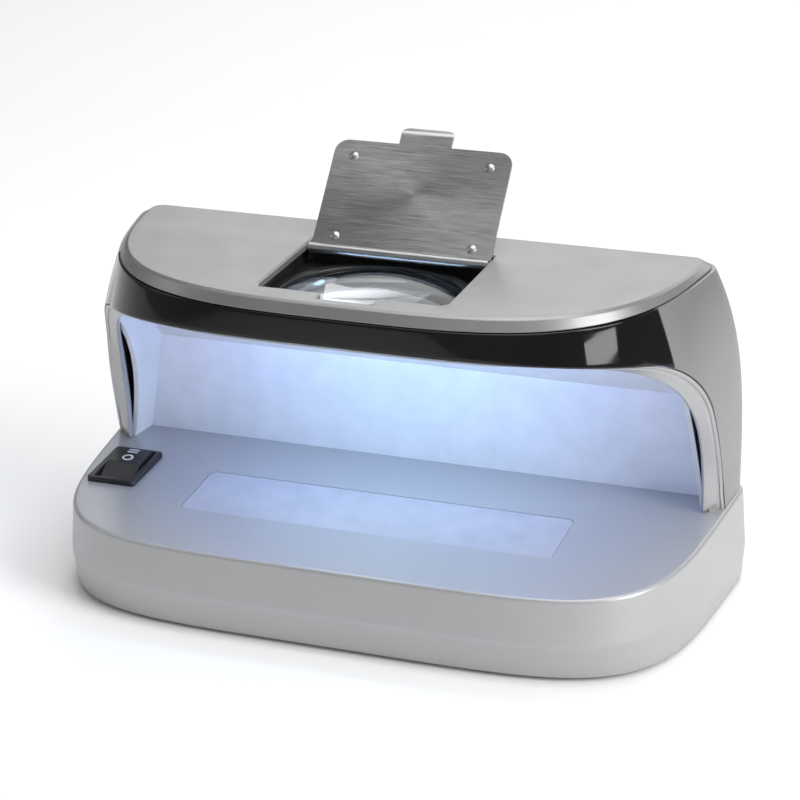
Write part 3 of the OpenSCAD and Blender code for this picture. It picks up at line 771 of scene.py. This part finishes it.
def magnifier_lens():
    b = Builder()
    dome_h = lens_high.z - RIM_Z
    dome_r = (RIM_R ** 2 + dome_h ** 2) / (2 * dome_h)
    radii = [RIM_R * sin(pi / 2 * (1 - i / 24)) for i in range(24)]
    dome = [(r, RIM_Z + dome_h - dome_r + sqrt(dome_r ** 2 - r ** 2)) for r in radii]
    flat = [(RIM_R * i / 4, lens_low.z) for i in range(1, 4)]
    edge = [(LENS_R - LENS_CHAMFER, lens_low.z), (LENS_R, lens_low.z + LENS_CHAMFER),
            (LENS_R, RIM_Z - LENS_CHAMFER), (LENS_R - LENS_CHAMFER, RIM_Z)]
    profile = flat + edge + dome
    rows = turned(b, profile)
    b.fan(rows[0], Vector((0, LENS_Y, lens_low.z)))
    b.fan(rows[-1], Vector((0, LENS_Y, lens_high.z)))
    b.trim(Vector((0, lens_low.y, 0)), Vector((0, -1, 0)))
    b.piece("magnifier_lens_fine", LOOKS["lens_glass"], "housing", ["magnifier_lens"])


def lens_ring():
    b = Builder()
    low, high, inner, outer = ring_low.z, ring_high.z, RIM_R + 0.25, ring_high.x
    corners = [(inner, low), (outer, low), (outer, high), (inner, high)]
    path = rounded([Vector((*c, 0)) for c in corners + corners[:2]], [0.1, 0.35, 0.35, 0.1], 4)[1:-1]
    rows = turned(b, [(p.x, p.y) for p in path])
    b.bridge(rows[-1], rows[0])
    b.trim(Vector((0, ring_low.y, 0)), Vector((0, -1, 0)))
    b.trim(Vector((0, ring_high.y, 0)), Vector((0, 1, 0)))
    b.piece("lens_ring_fine", LOOKS["black_plastic"], "housing", ["lens_ring"])


# ---- Lid: its mesh is drawn closed, with the hinge axis on X, and then opened ----
LID_OPEN = radians(132)
LID_HALF_W = box_mm("lens_lid")[1].x
LID_LEN = 34.6
LID_TAB = 5.4
LID_R = 4
SHEET = 0.72
CURL_R = 1.5
TAB_HALF_W = 7.8
TAB_R = 2
TAB_STRAIGHT = 3.2
TAB_BEND_R = 2.0
TAB_BEND = radians(28)
DIMPLE_R = 1.2
DIMPLE_H = 0.45
DIMPLES = [(x, y) for x in (-20.3, 20.3) for y in (-4.6, -29.6)]


def lens_lid():
    b = Builder()
    opened = Matrix.Translation(HINGE) @ Matrix.Rotation(-LID_OPEN, 4, "X")

    def row(points):
        return b.ring(moved(points, opened))

    columns = 12
    xs = [mix(-LID_HALF_W, LID_HALF_W, i / columns) for i in range(columns + 1)]
    tab_xs = [mix(-TAB_HALF_W, TAB_HALF_W, i / 8) for i in range(9)]
    root = row([Vector((x, 0, CURL_R)) for x in xs])
    tab_root = row([Vector((x, -LID_LEN, CURL_R)) for x in tab_xs])
    left, right = [], []
    for i in range(9):
        turn = radians(90 * i / 8)
        x, y = LID_R - LID_R * cos(turn), LID_LEN - LID_R + LID_R * sin(turn)
        left.append(Vector((x - LID_HALF_W, -y, CURL_R)))
        right.append(Vector((LID_HALF_W - x, -y, CURL_R)))
    edge = row(left) + tab_root + row(right[::-1])
    rim = [root[0]] + edge + root[:0:-1]
    dimples = []
    for x, y in DIMPLES:
        dimples.append(row([p + Vector((0, 0, CURL_R)) for p in circle(x, y, DIMPLE_R, 20)]))
    b.fill(rim, *dimples)
    for (x, y), around in zip(DIMPLES, dimples):
        for share in (0.85, 0.6, 0.3):
            depth = DIMPLE_H * (1 - share ** 2)
            ring = row([p + Vector((0, 0, CURL_R - depth)) for p in circle(x, y, DIMPLE_R * share, 20)])
            b.bridge(around, ring)
            around = ring
        b.fan(around, opened @ Vector((x, y, CURL_R - DIMPLE_H)))
    # The tab runs straight and then bends up
    straight, bend_r, bend = TAB_STRAIGHT, TAB_BEND_R, TAB_BEND
    last = tab_root
    for s in [LID_TAB * i / 14 for i in range(1, 15)]:
        turn = min(max(0, s - straight) / bend_r, bend)
        after = max(0, s - straight - bend * bend_r)
        y = -LID_LEN - min(s, straight) - bend_r * sin(turn) - after * cos(bend)
        z = CURL_R + bend_r * (1 - cos(turn)) + after * sin(bend)
        left_over = max(0, TAB_R - (LID_TAB - s))
        narrow = TAB_R - sqrt(max(0.0, TAB_R ** 2 - left_over ** 2))
        width = TAB_HALF_W - narrow * 0.96
        ring = row([Vector((x / TAB_HALF_W * width, y, z)) for x in tab_xs])
        b.bridge(last, ring, False)
        last = ring
    # The rolled edge
    last = root
    for i in range(1, 21):
        turn = radians(90 - 280 * i / 20)
        ring = row([Vector((x, CURL_R * cos(turn), CURL_R * sin(turn))) for x in xs])
        b.bridge(last, ring, False)
        last = ring
    bmesh.ops.recalc_face_normals(b.bm, faces=b.bm.faces)
    up = opened.to_3x3() @ Vector((0, 0, 1))
    plate = max(b.bm.faces, key=lambda f: f.calc_area())
    if plate.normal.dot(up) < 0:
        bmesh.ops.reverse_faces(b.bm, faces=b.bm.faces)
    b.piece("lens_lid_fine", LOOKS["brushed_sheet"], "lid", ["lens_lid"],
            bevel=0.16, sheet=SHEET, outward=False)


# ---- Switch, drawn on the deck ----
BEZEL_SIZE = Vector((15, 21))
BEZEL_H = 1.6
ROCKER_R = 8.9
ROCKER_HALF_W = 5.3
RIDGE_H = 3.6
FACET_FALL = radians(11)
SWITCH_BODY = Vector((13.2, 19.2, 13))
PIVOT_Z = -1
ROCKER_SWING = radians(12)
ROCKER_BOTTOM = -3.2
AXLE_R = 1
AXLE_END = 6


def switch_housing():
    b = Builder()
    body, well = SWITCH_BODY / 2, Vector((ROCKER_HALF_W + 0.3, 9.25))
    w, l = BEZEL_SIZE / 2
    profile = [
        (body.x, body.y, 0.6, -SWITCH_BODY.z), (body.x, body.y, 0.6, 0), (w, l, 1, 0),
        (w, l, 1, BEZEL_H), (well.x, well.y, 0.3, BEZEL_H), (well.x, well.y, 0.3, -6.5)]
    rings = [level(rectangle(-x, -y, x, y, r), z) for x, y, r, z in profile]
    place = deck_matrix(*SWITCH)
    columns = [rounded([place @ ring[i] for ring in rings], [0.1, 0.1, 0.55, 0.35], 4)
               for i in range(len(rings[0]))]
    rows = b.skin([list(row) for row in zip(*columns)])
    b.fill(rows[0])
    b.fill(rows[-1])
    b.piece("switch_housing_fine", LOOKS["black_plastic"], "housing",
            ["switch_housing"])


def switch_rocker():
    b = Builder()
    place = deck_matrix(*SWITCH) @ Matrix.Translation((0, 0, PIVOT_Z))
    place = place @ Matrix.Rotation(ROCKER_SWING, 4, "X")
    top_y = bisect(lambda y: hypot(y, RIDGE_H - y * tan(FACET_FALL)) < ROCKER_R, 0, ROCKER_R)
    top = atan2(RIDGE_H - top_y * tan(FACET_FALL), top_y)
    low = asin(ROCKER_BOTTOM / ROCKER_R)
    arc = [Vector((0, ROCKER_R * cos(mix(low, top, i / 10)), ROCKER_R * sin(mix(low, top, i / 10))))
           for i in range(11)]
    ridge = rounded([arc[-1], Vector((0, 0, RIDGE_H)), Vector((0, -arc[-1].y, arc[-1].z))], [1.2], 6)[1:-1]
    profile = arc + ridge + [Vector((0, -p.y, p.z)) for p in reversed(arc)]
    sides = []
    for x in (-ROCKER_HALF_W, ROCKER_HALF_W):
        sides.append(moved([p + Vector((x, 0, 0)) for p in profile], place))
    left, right = b.skin(sides)
    b.face(*left)
    b.face(*reversed(right))
    for side in (-1, 1):
        ends = [[place @ Vector((side * x, p.x, p.y)) for p in circle(0, 0, AXLE_R, 24)]
                for x in (ROCKER_HALF_W - 0.5, AXLE_END)]
        near, far = b.skin(ends)
        b.face(*near)
        b.face(*reversed(far))
    b.piece("switch_rocker_fine", LOOKS["black_plastic"], "rocker",
            ["switch_rocker"], bevel=0.3)


# ---- Stage, light and camera; lengths in metres unless a name or a comment says otherwise ----
FLOOR_R_MM = 1600
FLOOR_DROP_MM = 0.1
WORLD_COLOUR = (0.72, 0.74, 0.78, 1)
WORLD_STRENGTH = 0.28
# The chamber's lamps: the size of each, how far in from its window's end it lies, and its drop
LAMP_SIZE = (0.024, 0.007)
LAMP_INSET = 0.013
LAMP_DROP = 0.002
CAMERA_AZIMUTH = radians(19.92)
CAMERA_ELEVATION = radians(22.086)
CAMERA_ROLL = radians(-0.81)
CAMERA_PLACE = (0.2251, -0.6053, 0.3201)
FOCAL_LENGTH_MM = 112.51


def area_light(name, place, target, size, power, colour=(1, 1, 1)):
    """A rectangular soft light at place that points at target; lengths in metres."""
    data = bpy.data.lights.new(name, "AREA")
    data.shape = "RECTANGLE"
    data.size, data.size_y = size
    data.energy = power
    data.color = colour
    obj = bpy.data.objects.new(name, data)
    obj.location = place
    obj.rotation_mode = "QUATERNION"
    obj.rotation_quaternion = (Vector(target) - Vector(place)).to_track_quat("-Z", "Y")
    bpy.context.scene.collection.objects.link(obj)
    return obj


def floor():
    b = Builder()
    b.face(*b.ring([p - Vector((0, 0, FLOOR_DROP_MM)) for p in circle(0, 0, FLOOR_R_MM, 96)]))
    mesh = bpy.data.meshes.new("floor")
    b.bm.to_mesh(mesh)
    b.bm.free()
    obj = bpy.data.objects.new("floor", mesh)
    bpy.context.scene.collection.objects.link(obj)
    look = Look("floor")
    look.colour(look.noise(300), grey(0.90), grey(0.92))
    look.roughness(look.noise(100), 0.75, 0.85)
    mesh.materials.append(look.material)


def world():
    """White behind the object for the camera, and a softer grey for its reflections."""
    made = bpy.data.worlds.new("world")
    bpy.context.scene.world = made
    made.use_nodes = True
    nodes, links = made.node_tree.nodes, made.node_tree.links
    seen, lit = nodes.new("ShaderNodeBackground"), nodes["Background"]
    seen.inputs["Color"].default_value = (1, 1, 1, 1)
    lit.inputs["Color"].default_value = WORLD_COLOUR
    lit.inputs["Strength"].default_value = WORLD_STRENGTH
    path, pick = nodes.new("ShaderNodeLightPath"), nodes.new("ShaderNodeMixShader")
    links.new(path.outputs["Is Camera Ray"], pick.inputs["Fac"])
    links.new(lit.outputs["Background"], pick.inputs[1])
    links.new(seen.outputs["Background"], pick.inputs[2])
    links.new(pick.outputs["Shader"], nodes["World Output"].inputs["Surface"])


def lights():
    centre = (0, 0, 0.05)
    area_light("overhead", (0.1, 0.1, 1.4), centre, (1.4, 1.0), 13)
    area_light("right_softbox", (1.3, -0.35, 0.75), centre, (0.7, 0.9), 17)
    area_light("front_fill", (0.35, -1.5, 0.7), centre, (1.4, 0.7), 2)
    area_light("left_fill", (-1.4, -0.4, 0.8), centre, (0.5, 0.8), 1.5)
    area_light("back_sweep", (0, 1.5, 0.9), centre, (1.8, 0.8), 9)
    # A low strip whose image stands near the right end of the glossy band
    area_light("band_glint", (0.99, -0.35, 0.16), (0.07, -0.02, 0.088), (0.42, 0.055), 0.5)
    # What the lamps throw onto the chamber's back wall
    windows_low, windows_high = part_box("uv_windows")
    lamp_x = windows_high.x - LAMP_INSET
    lamp_y = (windows_low.y + windows_high.y) / 2
    for side in (-1, 1):
        place = Vector((side * lamp_x, lamp_y, windows_low.z - LAMP_DROP))
        area_light("violet", place, place + Vector((0, 0.02, -0.03)), LAMP_SIZE, 0.005, (0.16, 0.1, 1))
    area_light("blue", (0, -0.012, 0.078), (0, 0.02, 0.045), (0.1, 0.02), 0.05, (0.34, 0.62, 1))


def camera():
    data = bpy.data.cameras.new("camera")
    data.lens = FOCAL_LENGTH_MM
    data.sensor_width = 36
    data.clip_start, data.clip_end = 0.05, 20
    obj = bpy.data.objects.new("camera", data)
    az, el = CAMERA_AZIMUTH, CAMERA_ELEVATION
    back = Vector((sin(az) * cos(el), -cos(az) * cos(el), sin(el)))
    right = (-back).cross(Vector((0, 0, 1))).normalized()
    up = right.cross(-back)
    c, s = cos(CAMERA_ROLL), sin(CAMERA_ROLL)
    right, up = right * c + up * s, up * c - right * s
    turn = Matrix((right, up, back)).transposed()
    obj.matrix_world = Matrix.Translation(CAMERA_PLACE) @ turn.to_4x4()
    bpy.context.scene.collection.objects.link(obj)
    bpy.context.scene.camera = obj


camera()
paint_cad_nodes()
base_shell()
rear_cover()
fascia_band()
front_frame()
top_cover()
magnifier_lens()
lens_ring()
lens_lid()
switch_housing()
switch_rocker()
floor()
world()
lights()
bpy.context.scene.view_settings.view_transform = "Standard"
